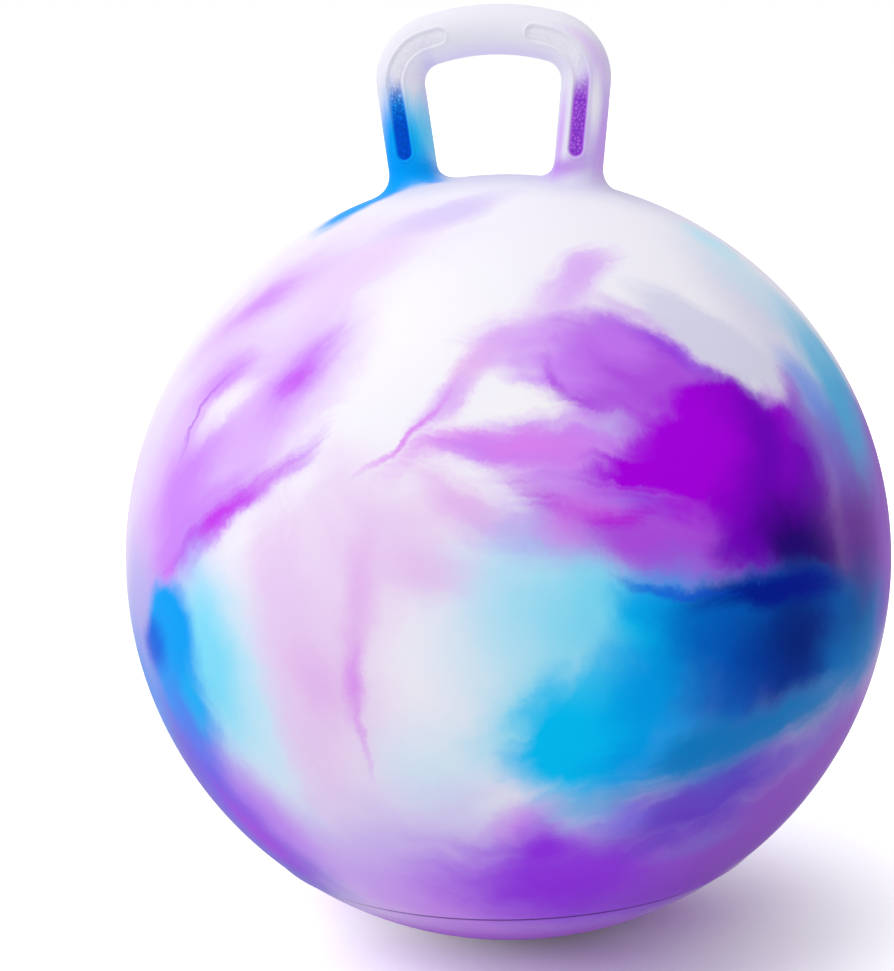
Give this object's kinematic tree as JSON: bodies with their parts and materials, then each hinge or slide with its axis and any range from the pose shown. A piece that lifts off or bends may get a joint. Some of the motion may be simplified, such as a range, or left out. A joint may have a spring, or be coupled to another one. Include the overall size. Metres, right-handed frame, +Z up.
{
  "type": "hopper ball",
  "caption": "Large inflated marbled vinyl hopper ball with a moulded loop handle on top and a plugged air valve in the back, to sit on and bounce.",
  "frame": {"origin": "on the floor, in the middle of the flat patch that the ball rests on", "axes": "+Z up through the handle, X along the handle's top bar, the valve at the back along +Y, the pictured side towards -Y"},
  "size_m": [0.5079, 0.5078, 0.614],
  "materials": {
    "marbled_vinyl": "satin",
    "valve_vinyl": "satin",
    "plug_plastic": "satin"
  },
  "bodies": {
    "ball": {"ball_skin": "marbled_vinyl", "handle_loop": "marbled_vinyl", "valve_seat": "valve_vinyl"},
    "plug": {"valve_plug": "plug_plastic"}
  },
  "joints": [
    {"name": "plug_pull", "type": "slide", "parent": "ball", "child": "plug", "axis": [0, 1, 0], "range_m": [0, 0.022]}
  ]
}
